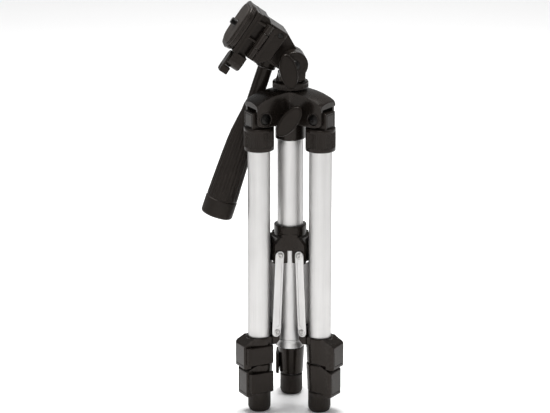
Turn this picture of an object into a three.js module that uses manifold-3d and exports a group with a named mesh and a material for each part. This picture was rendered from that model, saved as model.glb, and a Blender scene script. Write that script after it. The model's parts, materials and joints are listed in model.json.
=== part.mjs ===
// A small folded three-section tripod with a three-way pan-and-tilt head, as used under a laser level.
// Millimetres, +Z up. The origin is on the floor, under the middle of the object's bounding box.
import * as THREE from "three";
import { mergeVertices } from "three/addons/utils/BufferGeometryUtils.js";
import Module from "manifold-3d";

const wasm = await Module();
wasm.setup();

// ---- Driving dimensions ----

const GAP = 0.3; // clearance between neighbouring pieces
const MAST_AT = [14.7, -7.4]; // the mast's axis, from the middle of the bounding box
const FINE = 24; // segments round a tube
const COARSE = 14; // segments round a pin or a knob

// Mast: a fixed guide tube with the lifting column inside it.
const GUIDE = { radius: 10.8, wall: 1.5, bottom: 56.7, top: 246 };
const COLUMN = { radius: 8.6, wall: 0.8, bottom: 62, top: 278.3 };

// Legs, in each leg's own frame: x outward from the mast, y along the tangent, z up.
const LEG_AZIMUTHS = [210, 330, 90];
const LEG_RADIUS = 29.5; // mast axis to leg axis
const LEG_PIVOT = { x: 28.5, z: 256.7 };
const UPPER_TUBE = { radius: 9.5, wall: 0.9, bottom: 60.6, top: 242.7 };
const MIDDLE_TUBE = { radius: 8.2, wall: 0.8, bottom: 28.3, top: 226 };
const LOWER_TUBE = { radius: 7, wall: 0.8, bottom: 6.3, top: 214 };
const CAP = { radius: 12.6, bottom: 229, top: 248.8, tongue: 7.4 };
const UPPER_CLAMP = { bottom: 44.2, shoulder: 61.2, top: 67.2, radius: 11.8, reach: 18.7, lip: 11.9 };
const LOWER_CLAMP = { bottom: 18.9, shoulder: 38, top: 43.5, radius: 11.2, reach: 16.2, lip: 10.2 };
const CLAMP_LIP = 3; // how far the outer end of a clamp hangs below the rest of it
const CLAMP_LEVER = { thickness: 2.8, offset: 10.6, pinX: 13.6, pinY: 9, hubRadius: 3.1, tail: -7.5 };
const FOOT = { radius: 9.6, soleRadius: 6.5, height: 18, socket: 6 };

// Spreader: a hub that slides on the guide tube, and two strips to each leg.
const HUB = { radius: 13.8, bottom: 129.6, arch: 143.6, shoulder: 147, top: 161.5, cheek: 9.4 };
const ARM_TOP = { x: 15.5, z: 137.5 };
const ARM_BOTTOM = { x: 18.5, z: 70.5 };
const ARM = { width: 8, thickness: 1.2, offset: 9.8, hole: 1.6 };

// Canopy: the three-lobed body that carries the legs.
const CANOPY = { boss: 12.7, bossBottom: 235.5, rim: 266, lobe: 36.8, halfWidth: 11.2, ear: 36.2 };
const KNOB = { z: 256.4, front: -30, back: -24, long: 15, short: 7.2, lean: 37 };

// Head: turned on the mast, then tipped back about its tilt axis.
const HEAD_PAN = 9;
const HEAD_TILT = 55.5;
const TILT_AXIS = { x: 1.9, z: 300 };
const BARREL = 11.4;
const PAN_RING = { radius: 15, bottom: 278.6, top: 285 };
const PAN_KNOB = { x: -4.2, z: 296.3, front: -23.5, back: -18.5, long: 12.9, short: 6.4, lean: -12 };

// Tipping parts: x along the plate, y along the tilt axis, z along the plate's normal.
const BRACKET = { bottom: 19, top: 36, near: -13, far: 20 };
const HINGE = { y: -16.5, z: 36.2, radius: 3.6, pin: 1.5 };
const PLATFORM = { back: -17.5, front: 21, half: 18, bottom: 36.6, top: 51.5 };
const PLATE = { x: 1.6, length: 41.8, width: 40, bottom: 51.8, top: 57.2, corner: 13 };
const PAD = { length: 34.8, width: 34, top: 58.2, sunk: 0.6, corner: 9 };
const SCREW = { radius: 3.1, top: 62.8, head: 6.4, headTop: 54.4, bottom: 52.1 };
const LEVER = { x: -24, y: -12, reach: -36.8, plateBottom: 49.6, top: 51.4, tipBottom: 44, half: 6 };
const HANDLE = { x: -6, y: 16, z: 16.7, droop: 16.2, rod: 6.4, rodEnd: 78, gripStart: 46, gripEnd: 146 };

// ---- Colours and finishes ----

const finish = (color, roughness, metalness) =>
  new THREE.MeshStandardMaterial({ color, roughness, metalness });
const BLACK_PLASTIC = finish(0x211f1e, 0.45, 0);
const GLOSS_BLACK = finish(0x2a2827, 0.25, 0);
const ALUMINIUM = finish(0xc9c9ca, 0.3, 0.9);
const STEEL = finish(0xb5b3ae, 0.3, 1);
const RUBBER = finish(0x35322f, 0.85, 0);

// ---- Geometry helpers ----

const radians = THREE.MathUtils.degToRad;
const turnY = (degrees) => new THREE.Matrix4().makeRotationY(radians(degrees));

// A closed three.js geometry as a manifold-3d solid.
function solid(geometry) {
  const bare = geometry.clone();
  bare.deleteAttribute("normal");
  bare.deleteAttribute("uv");
  const merged = mergeVertices(bare, 1e-4);
  return new wasm.Manifold(
    new wasm.Mesh({
      numProp: 3,
      vertProperties: merged.attributes.position.array,
      triVerts: new Uint32Array(merged.index.array),
    }),
  );
}

// The geometry of a manifold-3d solid.
function geometryOf(body) {
  const mesh = body.getMesh();
  return new THREE.BufferGeometry()
    .setAttribute("position", new THREE.BufferAttribute(mesh.vertProperties, 3))
    .setIndex(new THREE.BufferAttribute(mesh.triVerts, 1));
}

// The first geometry with the others joined to it.
const join = (...geometries) => geometryOf(geometries.map(solid).reduce((a, b) => a.add(b)));

// The first geometry with the others cut out of it.
const cut = (...geometries) => geometryOf(geometries.map(solid).reduce((a, b) => a.subtract(b)));

// The space that two geometries share.
const common = (a, b) => geometryOf(solid(a).intersect(solid(b)));

// A turned solid about Z from its outline as [radius, z] pairs, which starts and ends on the axis
// or closes on itself. The outline runs from the bottom up on the outside.
function turned(outline, segments = FINE) {
  const points = outline.map(([radius, z]) => new THREE.Vector2(radius, z));
  return new THREE.LatheGeometry(points, segments).rotateX(Math.PI / 2);
}

// A solid rod about Z between two heights.
const rod = (radius, bottom, top, segments = FINE) =>
  turned([[0, bottom], [radius, bottom], [radius, top], [0, top]], segments);

// An open tube about Z between two heights.
function tube({ radius, wall, bottom, top }, segments = FINE) {
  const bore = radius - wall;
  return turned([[bore, bottom], [radius, bottom], [radius, top], [bore, top], [bore, bottom]], segments);
}

// A box between two corners.
function box(low, high) {
  const size = high.map((value, i) => value - low[i]);
  const middle = high.map((value, i) => (value + low[i]) / 2);
  return new THREE.BoxGeometry(...size).translate(...middle);
}

// A rod along Y between two places on it, centred on x and z.
const rodAlongY = (radius, x, z, from, to, segments = COARSE) =>
  rod(radius, from, to, segments).rotateX(-Math.PI / 2).translate(x, 0, z);

// An outline in the XZ plane given depth along Y.
function sideProfile(shape, from, to, curveSegments = 8) {
  const options = { depth: to - from, bevelEnabled: false, curveSegments };
  return new THREE.ExtrudeGeometry(shape, options).rotateX(Math.PI / 2).translate(0, to, 0);
}

// An outline in the XY plane given height along Z.
function planProfile(shape, bottom, top, curveSegments = 7) {
  const options = { depth: top - bottom, bevelEnabled: false, curveSegments };
  return new THREE.ExtrudeGeometry(shape, options).translate(0, 0, bottom);
}

const polygon = (points) => new THREE.Shape(points.map(([x, y]) => new THREE.Vector2(x, y)));

// A rectangle with rounded corners about its middle.
function roundedRectangle(length, width, corner) {
  const x = length / 2 - corner;
  const y = width / 2 - corner;
  const shape = new THREE.Shape();
  shape.absarc(x, y, corner, 0, Math.PI / 2);
  shape.absarc(-x, y, corner, Math.PI / 2, Math.PI);
  shape.absarc(-x, -y, corner, Math.PI, Math.PI * 1.5);
  shape.absarc(x, -y, corner, Math.PI * 1.5, Math.PI * 2);
  return shape;
}

// A named piece.
function piece(name, geometry, material) {
  const mesh = new THREE.Mesh(geometry, material);
  mesh.name = name;
  return mesh;
}

// The same geometry at each of the three legs.
const atEachLeg = (geometry) =>
  LEG_AZIMUTHS.map((azimuth) => geometry.clone().rotateZ(radians(azimuth)));

// ---- Mast and canopy ----

// A lobe in its leg's frame: a roof with two ears below it, and a slot between them for the leg.
function canopyLobe() {
  const { rim, lobe, halfWidth, ear } = CANOPY;
  const roof = box([0, -halfWidth, rim], [lobe, halfWidth, 280]);
  const ears = polygon([[0, 251], [31, 249.2], [ear, 251.5], [ear, rim + 1], [0, rim + 1]]);
  return join(roof, sideProfile(ears, -halfWidth, halfWidth));
}

function canopy() {
  const { boss, bossBottom, rim } = CANOPY;
  const dome = turned([[0, 230], [60, 230], [60, rim - 1], [38.4, rim], [37.6, 269], [34, 271.8],
    [27, 274.8], [17, 277.2], [12, 278], [0, 278]], 36);
  const crown = rod(18.5, 260, 280);
  const knobBoss = rodAlongY(5.6, 0, KNOB.z, -23.2, -10);
  const body = common(join(rod(boss, bossBottom, 280), crown, knobBoss, ...atEachLeg(canopyLobe())), dome);
  const slot = box([16.5, -CAP.tongue - 0.5, 225], [60, CAP.tongue + 0.5, rim]);
  const boltHole = rodAlongY(2.5, LEG_PIVOT.x, LEG_PIVOT.z, -15, 15);
  const nearSink = rodAlongY(4.8, LEG_PIVOT.x, LEG_PIVOT.z, 9.3, 15);
  const farSink = rodAlongY(4.8, LEG_PIVOT.x, LEG_PIVOT.z, -15, -9.3);
  const legCuts = [slot, boltHole, nearSink, farSink].flatMap(atEachLeg);
  const guideBore = rod(GUIDE.radius + GAP, 230, GUIDE.top + GAP);
  const columnBore = rod(COLUMN.radius + GAP, 230, 285);
  const knobHole = rodAlongY(2.9, 0, KNOB.z, -30, 0);
  return cut(body, ...legCuts, guideBore, columnBore, knobHole);
}

function guideCap() {
  const plug = GUIDE.radius - GUIDE.wall - GAP;
  return turned([[0, 53.5], [10, 53.5], [11, 54.5], [11, 56.4], [plug, 56.4], [plug, 60], [0, 60]]);
}

// A bolt through both ears and the leg's tongue, with a head and a nut sunk into the ears.
function legBolt() {
  const shaft = rodAlongY(2.1, LEG_PIVOT.x, LEG_PIVOT.z, -10, 10);
  const head = rodAlongY(4.3, LEG_PIVOT.x, LEG_PIVOT.z, 9.7, 10.9);
  const nut = rodAlongY(4.3, LEG_PIVOT.x, LEG_PIVOT.z, -10.9, -9.7);
  return join(shaft, head, nut);
}

// An oval paddle knob facing -Y, leaning about its screw, with the screw behind it.
function paddleKnob({ x = 0, z, front, back, long, short, lean }, screwRadius, screwEnd) {
  const oval = new THREE.Shape().absellipse(0, 0, short, long, 0, 2 * Math.PI);
  const paddle = sideProfile(oval, front, back, 14).applyMatrix4(turnY(lean));
  const screw = rodAlongY(screwRadius, 0, 0, back - 1, screwEnd);
  return join(paddle, screw).translate(x, 0, z);
}

// ---- Legs ----

function legCap() {
  const { radius, bottom, top, tongue } = CAP;
  const { x, z } = LEG_PIVOT;
  const sleeve = turned([[0, bottom], [radius - 2.6, bottom], [radius - 0.7, bottom + 1], [radius, bottom + 3],
    [radius, top], [0, top]]).translate(LEG_RADIUS, 0, 0);
  const block = new THREE.Shape();
  block.moveTo(x + 10.6, top - 1);
  block.lineTo(x + 10.6, z + 5);
  block.lineTo(x + 4, z + 7);
  block.lineTo(x, z + 7);
  block.absarc(x, z, 7, Math.PI / 2, Math.PI);
  block.lineTo(x - 8, top - 1);
  const bore = rod(UPPER_TUBE.radius + GAP, bottom - 5, UPPER_TUBE.top + GAP).translate(LEG_RADIUS, 0, 0);
  const boltHole = rodAlongY(2.4, x, z, -20, 20);
  return cut(join(sleeve, sideProfile(block, -tongue, tongue)), bore, boltHole);
}

// A stepped collar about the leg's axis: a wide shoulder that grips one tube, and a split block that
// closes on the thinner tube inside it. The block's outer end carries the lever.
function clampBody({ bottom, shoulder, top, radius, reach, lip }, outerTube, innerTube) {
  const wide = turned([[0, shoulder], [radius - 0.6, shoulder], [radius, shoulder + 0.6],
    [radius, top - 0.8], [radius - 0.8, top], [0, top]]);
  const narrow = rod(radius - 1.4, bottom, shoulder + 1);
  const block = box([0, -6.5, bottom], [reach, 4.6, shoulder + 1]);
  const outerEnd = box([lip, -6.5, bottom - CLAMP_LIP], [reach, 4.6, bottom + 1]);
  const outerBore = rod(outerTube.radius + GAP, outerTube.bottom - GAP, 80);
  const innerBore = rod(innerTube.radius + GAP, 10, 80);
  const split = box([innerTube.radius - 1, -0.8, bottom - CLAMP_LIP - 1], [reach + 1, 0.8, outerTube.bottom - 2]);
  return cut(join(wide, narrow, block, outerEnd), outerBore, innerBore, split);
}

// The upper clamp also holds the lower ends of the spreader strips between two cheeks.
function upperClamp() {
  const collar = clampBody(UPPER_CLAMP, UPPER_TUBE, MIDDLE_TUBE);
  const inward = ARM_BOTTOM.x - LEG_RADIUS;
  const cheek = HUB.cheek;
  const bracket = polygon([[inward - 4, 63], [inward - 1, 59.5], [-8, 59.5], [-8, 74.5], [inward - 3, 74.5],
    [inward - 4, 73]]);
  const bracketBody = cut(sideProfile(bracket, -cheek, cheek), rod(UPPER_TUBE.radius + GAP, 50, 80));
  const stripPath = [-1, 1].map((side) => {
    const inner = side * (ARM.offset - GAP);
    const outer = side * (ARM.offset + ARM.thickness + 1);
    return box([-14, Math.min(inner, outer), 60.2], [-2.8, Math.max(inner, outer), 80]);
  });
  return cut(join(collar, bracketBody), ...stripPath).translate(LEG_RADIUS, 0, 0);
}

const lowerClamp = () => clampBody(LOWER_CLAMP, MIDDLE_TUBE, LOWER_TUBE).translate(LEG_RADIUS, 0, 0);

// A flip lever that lies along the collar's side, on an upright pin at the block's outer end.
function clampLever({ bottom, shoulder, reach }) {
  const { thickness, offset, pinX, pinY, hubRadius, tail } = CLAMP_LEVER;
  const shift = reach - UPPER_CLAMP.reach;
  const blade = polygon([[tail, offset], [pinX + shift, offset], [pinX + shift + 2.9, offset + thickness / 2],
    [pinX + shift, offset + thickness], [tail + 2, offset + thickness], [tail, offset + thickness - 1]]);
  const bodyBottom = bottom + 0.3;
  const bodyTop = shoulder - 1;
  const hub = rod(hubRadius, bodyBottom, bodyTop, COARSE).translate(pinX + shift, pinY, 0);
  return join(planProfile(blade, bodyBottom, bodyTop), hub).translate(LEG_RADIUS, 0, 0);
}

function foot() {
  const { radius, soleRadius, height, socket } = FOOT;
  const bore = LOWER_TUBE.radius + GAP;
  return turned([[0, 0], [soleRadius, 0], [radius - 1, 1.6], [radius, 4], [radius, height], [bore, height],
    [bore, socket], [0, socket]]).translate(LEG_RADIUS, 0, 0);
}

// ---- Spreader ----

function hub() {
  const { radius, bottom, arch, shoulder, top, cheek } = HUB;
  const outer = ARM_TOP.x + 3.8;
  const ring = rod(radius, shoulder - 6, top);
  const cheekOutline = polygon([[0, bottom], [outer - 1, bottom], [outer, bottom + 1], [outer, shoulder],
    [radius, shoulder + 6], [0, shoulder + 6]]);
  const cheeks = atEachLeg(sideProfile(cheekOutline, -cheek, cheek));
  const guideBore = rod(GUIDE.radius + GAP, bottom - 5, top + 5);
  return cut(join(ring, ...cheeks), guideBore, rod(GUIDE.radius + 1.2, bottom - 5, arch));
}

// One flat strip with round ends, from the hub to the leg, on one side of the cheeks.
function spreaderStrip(side) {
  const half = ARM.width / 2;
  const length = Math.hypot(ARM_BOTTOM.x - ARM_TOP.x, ARM_TOP.z - ARM_BOTTOM.z);
  const outline = new THREE.Shape();
  outline.absarc(0, 0, half, 0, Math.PI);
  outline.absarc(0, -length, half, Math.PI, 2 * Math.PI);
  for (const z of [0, -length]) {
    outline.holes.push(new THREE.Path().absarc(0, z, ARM.hole, 0, 2 * Math.PI, true));
  }
  const from = side > 0 ? ARM.offset : -ARM.offset - ARM.thickness;
  const slope = Math.atan2(ARM_BOTTOM.x - ARM_TOP.x, ARM_TOP.z - ARM_BOTTOM.z);
  return sideProfile(outline, from, from + ARM.thickness, 8)
    .rotateY(-slope)
    .translate(ARM_TOP.x, 0, ARM_TOP.z);
}

// ---- Head ----

function panBase() {
  const { radius, bottom, top } = PAN_RING;
  const plug = COLUMN.radius - COLUMN.wall - GAP;
  return turned([[0, 268], [plug, 268], [plug, bottom], [radius - 0.8, bottom], [radius, bottom + 0.8],
    [radius, top - 1.2], [radius - 1.2, top], [0, top]]);
}

// A round foot, with an upright cheek on the near side that holds the barrel of the tilt axis.
function panBody() {
  const base = PAN_RING.top + GAP;
  const skirt = turned([[0, base], [12.2, base], [11.6, base + 1], [11.2, base + 2.2], [0, base + 2.2]]);
  const cheek = new THREE.Shape();
  cheek.moveTo(-10.8, base + 1.4);
  cheek.lineTo(10.8, base + 1.4);
  cheek.lineTo(11.2, 293);
  cheek.absarc(TILT_AXIS.x, TILT_AXIS.z, BARREL, -0.6, Math.PI + 0.35);
  cheek.lineTo(-10.8, 293);
  const boltHole = rodAlongY(2.8, TILT_AXIS.x, TILT_AXIS.z, -20, 5);
  const knobHole = rodAlongY(2.5, PAN_KNOB.x, PAN_KNOB.z, -20, -6);
  return cut(join(skirt, sideProfile(cheek, -13, -GAP)), boltHole, knobHole);
}

// The tilt bolt: a domed head on the near side and a shaft through both cheeks.
function tiltBolt() {
  const head = turned([[0, 0], [4.4, 0], [4.1, 1.2], [2.7, 2.3], [0, 2.7]], COARSE)
    .rotateX(Math.PI / 2).translate(0, -13.3, 0);
  return join(head, rodAlongY(2.5, 0, 0, -13.6, 11.5));
}

// Knuckles round the flip hinge's pin, each between two places along it.
const knuckles = (spans, radius) => spans.map(([from, to]) =>
  rod(radius, from, to, COARSE).rotateY(Math.PI / 2).translate(0, HINGE.y, HINGE.z));
const BRACKET_KNUCKLES = [[-15, -5.3], [9.3, 17]];
const PLATFORM_KNUCKLE = [[-5, 9]];

// A frame whose +X runs down the handle.
const handleFrame = () => new THREE.Matrix4()
  .makeRotationY(radians(180 - HANDLE.droop))
  .setPosition(HANDLE.x, HANDLE.y, HANDLE.z);
const alongHandle = (geometry) => geometry.rotateY(Math.PI / 2).applyMatrix4(handleFrame());

// A cheek from the tilt axis up to a broad bracket, with the handle's socket on its far side.
function tiltArm() {
  const { bottom, top, near, far } = BRACKET;
  const cheek = new THREE.Shape();
  cheek.absarc(0, 0, BARREL, Math.PI * 1.05, Math.PI * 2.1);
  cheek.lineTo(18.5, bottom);
  cheek.lineTo(18.5, bottom + 9);
  cheek.lineTo(-15, bottom + 9);
  cheek.lineTo(-9.3, bottom + 1.7);
  const slab = polygon([[-8, bottom], [18.5, bottom], [18.5, top], [-16, top], [-16, bottom + 8],
    [-9.5, bottom + 2]]);
  const socket = alongHandle(rod(8.4, -6, 12.5));
  const web = box([-12, 4, 4], [2, 16, bottom + 2]);
  const shelf = box([-15, HINGE.y, HINGE.z - 7], [17, near + 2, HINGE.z - 0.4]);
  const body = join(sideProfile(cheek, GAP, 12), sideProfile(slab, near, far), socket, web, shelf,
    ...knuckles(BRACKET_KNUCKLES, HINGE.radius));
  const rodHole = alongHandle(rod(HANDLE.rod + GAP, 2, 20));
  const boltHole = rodAlongY(2.8, 0, 0, -5, 12 - GAP);
  return cut(body, rodHole, boltHole, ...knuckles([[-20, 25]], HINGE.pin + GAP),
    ...knuckles([[-5.3, 9.3]], HINGE.radius + 0.5));
}

const handleRod = () => alongHandle(rod(HANDLE.rod, 2 + GAP, HANDLE.rodEnd));

// A grip that swells from the rod to a thick plain end, as a sleeve over the rod.
function handleGrip() {
  const { gripStart, gripEnd, rod: rodRadius, rodEnd } = HANDLE;
  const bore = rodRadius + GAP;
  return alongHandle(turned([[0, rodEnd + GAP], [bore, rodEnd + GAP], [bore, gripStart], [7.2, gripStart],
    [7.8, gripStart + 7], [9.2, gripStart + 15], [10.9, gripStart + 26], [11.8, gripStart + 37],
    [12.5, gripStart + 55], [13.3, gripEnd - 17], [13.6, gripEnd - 13], [13.6, gripEnd - 1.4],
    [12.3, gripEnd], [0, gripEnd]]));
}

// The camera platform's body: a hollowed block with a lug for the release lever at its back.
function platform() {
  const { back, front, half, bottom, top } = PLATFORM;
  const outline = polygon([[back, bottom + 1.5], [back + 3, bottom], [front - 2, bottom], [front, bottom + 3],
    [front, top], [back, top]]);
  const lug = join(
    rod(6.2, bottom + 0.6, LEVER.plateBottom - GAP).translate(LEVER.x, LEVER.y, 0),
    box([LEVER.x, LEVER.y - 6.2, bottom + 0.6], [back + 1, LEVER.y + 6.2, LEVER.plateBottom - GAP]),
  );
  const hollow = box([-12, -10, bottom + 5], [14, 14, top + 1]);
  const pivotHole = rod(2.8, 43, 60, COARSE).translate(LEVER.x, LEVER.y, 0);
  const body = join(sideProfile(outline, -half, half), lug, ...knuckles(PLATFORM_KNUCKLE, HINGE.radius));
  return cut(body, hollow, pivotHole, ...knuckles([[-20, 25]], HINGE.pin + GAP),
    ...knuckles([[-15.5, -5], [9, 17.5]], HINGE.radius + 0.5));
}

const flipPin = () => knuckles([[-14.5, 16.5]], HINGE.pin)[0];

// The quick-release plate, with a sunk seat for the pad and a pocket for the screw's head.
function quickPlate() {
  const { length, width, bottom, top, corner } = PLATE;
  const blank = planProfile(roundedRectangle(length, width, corner), bottom, top);
  const seatOutline = roundedRectangle(PAD.length + 2 * GAP, PAD.width + 2 * GAP, PAD.corner);
  const seat = planProfile(seatOutline, top - PAD.sunk, top + 1);
  const screwHole = rod(SCREW.radius + GAP, bottom - 1, top + 1, COARSE);
  const pocket = rod(SCREW.head + GAP, bottom - 1, SCREW.headTop + GAP, COARSE);
  return cut(blank, seat, screwHole, pocket).translate(PLATE.x, 0, 0);
}

function plateCushion() {
  const bottom = PLATE.top - PAD.sunk + GAP;
  const blank = planProfile(roundedRectangle(PAD.length, PAD.width, PAD.corner), bottom, PAD.top);
  return cut(blank, rod(SCREW.radius + GAP, bottom - 1, PAD.top + 1, COARSE)).translate(PLATE.x, 0, 0);
}

// The quarter-inch camera screw, with a flat head under the plate.
function cameraScrew() {
  const { radius, top, head, headTop, bottom } = SCREW;
  return turned([[0, bottom], [head, bottom], [head, headTop], [radius, headTop], [radius, top - 1],
    [radius - 1, top], [0, top]], COARSE).translate(PLATE.x, 0, 0);
}

// The release lever: a flat plate on an upright pivot, with a deep thumb end.
function releaseLever() {
  const { x, y, reach, plateBottom, top, tipBottom, half } = LEVER;
  const plate = box([reach, y - half, plateBottom], [x, y + half, top]);
  const eye = rod(half, plateBottom, top, COARSE).translate(x, y, 0);
  const thumb = box([reach, y - half, tipBottom], [x - 6.4, y + half, top - 0.5]);
  const clearance = rod(6.2 + 0.6, 30, plateBottom, COARSE).translate(x, y, 0);
  const pivot = rod(2.5, 43.5, plateBottom + 0.5, COARSE).translate(x, y, 0);
  return join(cut(join(plate, eye, thumb), clearance), pivot);
}

// ---- Assembly ----

const tripod = new THREE.Group();
tripod.position.set(...MAST_AT, 0);

tripod.add(
  piece("canopy", canopy(), BLACK_PLASTIC),
  piece("guide_tube", tube(GUIDE), ALUMINIUM),
  piece("guide_tube_cap", guideCap(), BLACK_PLASTIC),
  piece("column", tube(COLUMN), ALUMINIUM),
  piece("column_knob", paddleKnob(KNOB, 2.5, -COLUMN.radius - 0.7), GLOSS_BLACK),
  piece("spreader_hub", hub(), BLACK_PLASTIC),
);

LEG_AZIMUTHS.forEach((azimuth, index) => {
  const leg = new THREE.Group();
  leg.rotation.z = radians(azimuth);
  const name = (part) => `leg_${index + 1}_${part}`;
  const atLeg = (dimensions) => tube(dimensions).translate(LEG_RADIUS, 0, 0);
  leg.add(
    piece(name("bolt"), legBolt(), STEEL),
    piece(name("cap"), legCap(), BLACK_PLASTIC),
    piece(name("upper_tube"), atLeg(UPPER_TUBE), ALUMINIUM),
    piece(name("upper_clamp"), upperClamp(), BLACK_PLASTIC),
    piece(name("upper_lever"), clampLever(UPPER_CLAMP), GLOSS_BLACK),
    piece(name("middle_tube"), atLeg(MIDDLE_TUBE), ALUMINIUM),
    piece(name("lower_clamp"), lowerClamp(), BLACK_PLASTIC),
    piece(name("lower_lever"), clampLever(LOWER_CLAMP), GLOSS_BLACK),
    piece(name("lower_tube"), atLeg(LOWER_TUBE), ALUMINIUM),
    piece(name("foot"), foot(), RUBBER),
    piece(name("strip_a"), spreaderStrip(1), ALUMINIUM),
    piece(name("strip_b"), spreaderStrip(-1), ALUMINIUM),
  );
  tripod.add(leg);
});

const head = new THREE.Group();
head.rotation.z = radians(HEAD_PAN);
head.add(
  piece("pan_base", panBase(), BLACK_PLASTIC),
  piece("pan_body", panBody(), BLACK_PLASTIC),
  piece("pan_knob", paddleKnob(PAN_KNOB, 2.2, -7), GLOSS_BLACK),
);

const tipping = new THREE.Group();
tipping.position.set(TILT_AXIS.x, 0, TILT_AXIS.z);
tipping.rotation.y = -radians(HEAD_TILT);
tipping.add(
  piece("tilt_arm", tiltArm(), BLACK_PLASTIC),
  piece("tilt_bolt", tiltBolt(), STEEL),
  piece("handle_rod", handleRod(), BLACK_PLASTIC),
  piece("handle_grip", handleGrip(), RUBBER),
  piece("camera_platform", platform(), BLACK_PLASTIC),
  piece("flip_pin", flipPin(), STEEL),
  piece("quick_plate", quickPlate(), GLOSS_BLACK),
  piece("plate_cushion", plateCushion(), RUBBER),
  piece("camera_screw", cameraScrew(), STEEL),
  piece("release_lever", releaseLever(), BLACK_PLASTIC),
);
head.add(tipping);
tripod.add(head);

const part = new THREE.Group();
part.add(tripod);

export default part;
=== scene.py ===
import json
import math

import bmesh
import bpy
from mathutils import Matrix, Vector


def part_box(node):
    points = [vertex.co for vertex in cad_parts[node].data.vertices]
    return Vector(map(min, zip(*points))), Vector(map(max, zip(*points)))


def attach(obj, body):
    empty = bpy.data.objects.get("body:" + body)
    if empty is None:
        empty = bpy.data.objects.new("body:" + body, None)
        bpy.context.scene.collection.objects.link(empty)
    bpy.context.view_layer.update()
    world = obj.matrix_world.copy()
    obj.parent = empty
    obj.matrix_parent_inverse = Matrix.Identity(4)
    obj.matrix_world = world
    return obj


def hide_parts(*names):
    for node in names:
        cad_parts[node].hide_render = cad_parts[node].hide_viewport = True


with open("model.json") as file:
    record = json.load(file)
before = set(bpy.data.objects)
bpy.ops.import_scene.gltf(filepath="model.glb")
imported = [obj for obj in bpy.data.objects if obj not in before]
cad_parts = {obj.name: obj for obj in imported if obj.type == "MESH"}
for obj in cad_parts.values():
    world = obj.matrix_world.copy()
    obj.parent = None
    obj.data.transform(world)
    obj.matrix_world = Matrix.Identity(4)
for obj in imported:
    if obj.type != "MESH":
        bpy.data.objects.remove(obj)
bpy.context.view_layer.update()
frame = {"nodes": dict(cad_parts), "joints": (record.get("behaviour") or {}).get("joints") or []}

MM = 0.001
SHARP = math.radians(32)  # edges that turn more than this stay sharp
ROUND = 72  # segments round a large turned piece
SMALL = 32  # segments round a pin, a screw or a rivet


# ---- Frames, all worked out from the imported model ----

JOINTS = {joint["name"]: joint for joint in frame["joints"]}


def frame_at(origin, x_axis, y_axis):
    """A frame in millimetres at a point in metres."""
    x = Vector(x_axis).normalized()
    z = x.cross(Vector(y_axis)).normalized()
    y = z.cross(x)
    turned = Matrix((x, y, z)).transposed().to_4x4()
    return Matrix.Translation(Vector(origin)) @ turned @ Matrix.Scale(MM, 4)


def middle_of(node):
    low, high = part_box(node)
    return (low + high) / 2


def flat(point):
    return Vector((point[0], point[1], 0))


MAST_POINT = flat(middle_of("guide_tube"))
MAST = frame_at(MAST_POINT, (1, 0, 0), (0, 1, 0))


def leg_frame(leg):
    """Origin on the floor under the leg's axis, x outward from the mast and z up."""
    foot = flat(middle_of(f"leg_{leg}_lower_tube"))
    outward = foot - MAST_POINT
    return frame_at(foot, outward, Vector((0, 0, 1)).cross(outward))


LEGS = {leg: leg_frame(leg) for leg in (1, 2, 3)}
TILT_AXIS = Vector(JOINTS["head_tilt"]["axis"])
HEAD = frame_at(MAST_POINT, TILT_AXIS.cross(Vector((0, 0, 1))), TILT_AXIS)
PLATE_NORMAL = Vector(JOINTS["camera_screw_turn"]["axis"])
TIPPING = frame_at(JOINTS["head_tilt"]["pos_m"], TILT_AXIS.cross(PLATE_NORMAL), TILT_AXIS)
HANDLE = frame_at(JOINTS["handle_twist"]["pos_m"], JOINTS["handle_twist"]["axis"], TILT_AXIS)


def span(node, local):
    """The lowest and highest corner of a CAD node in a frame, in that frame's millimetres."""
    inverse = local.inverted()
    points = [inverse @ vertex.co for vertex in frame["nodes"][node].data.vertices]
    low = Vector(min(point[i] for point in points) for i in range(3))
    high = Vector(max(point[i] for point in points) for i in range(3))
    return low, high


# ---- Solids: every function gives a closed mesh in millimetres ----

def as_mesh(bm):
    mesh = bpy.data.meshes.new("solid")
    bm.to_mesh(mesh)
    bm.free()
    return mesh


def round_edges(bm, width, segments=2, sharper_than=35):
    """Bevel the edges that turn more than an angle in degrees."""
    edges = [e for e in bm.edges if e.calc_face_angle(0) > math.radians(sharper_than)]
    bmesh.ops.bevel(bm, geom=edges, offset=width, segments=segments, profile=0.5,
                    affect="EDGES", clamp_overlap=True)


def lathe(outline, segments=ROUND, wave=None):
    """A solid turned about Z from [radius, height] pairs, which run up the outside. The outline ends
    on the axis or closes on itself. wave(angle, radius, height) may change the radius."""
    bm = bmesh.new()
    rings = []
    for radius, height in outline:
        if radius < 1e-6:
            rings.append([bm.verts.new((0, 0, height))])
            continue
        ring = []
        for i in range(segments):
            angle = 2 * math.pi * i / segments
            r = wave(angle, radius, height) if wave else radius
            ring.append(bm.verts.new((r * math.cos(angle), r * math.sin(angle), height)))
        rings.append(ring)
    pairs = list(zip(rings, rings[1:]))
    if len(rings[0]) > 1:
        pairs.append((rings[-1], rings[0]))
    for lower, upper in pairs:
        for i in range(segments):
            j = (i + 1) % segments
            corners = [lower[i % len(lower)], lower[j % len(lower)],
                       upper[j % len(upper)], upper[i % len(upper)]]
            bm.faces.new(list(dict.fromkeys(corners)))
    return as_mesh(bm)


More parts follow.
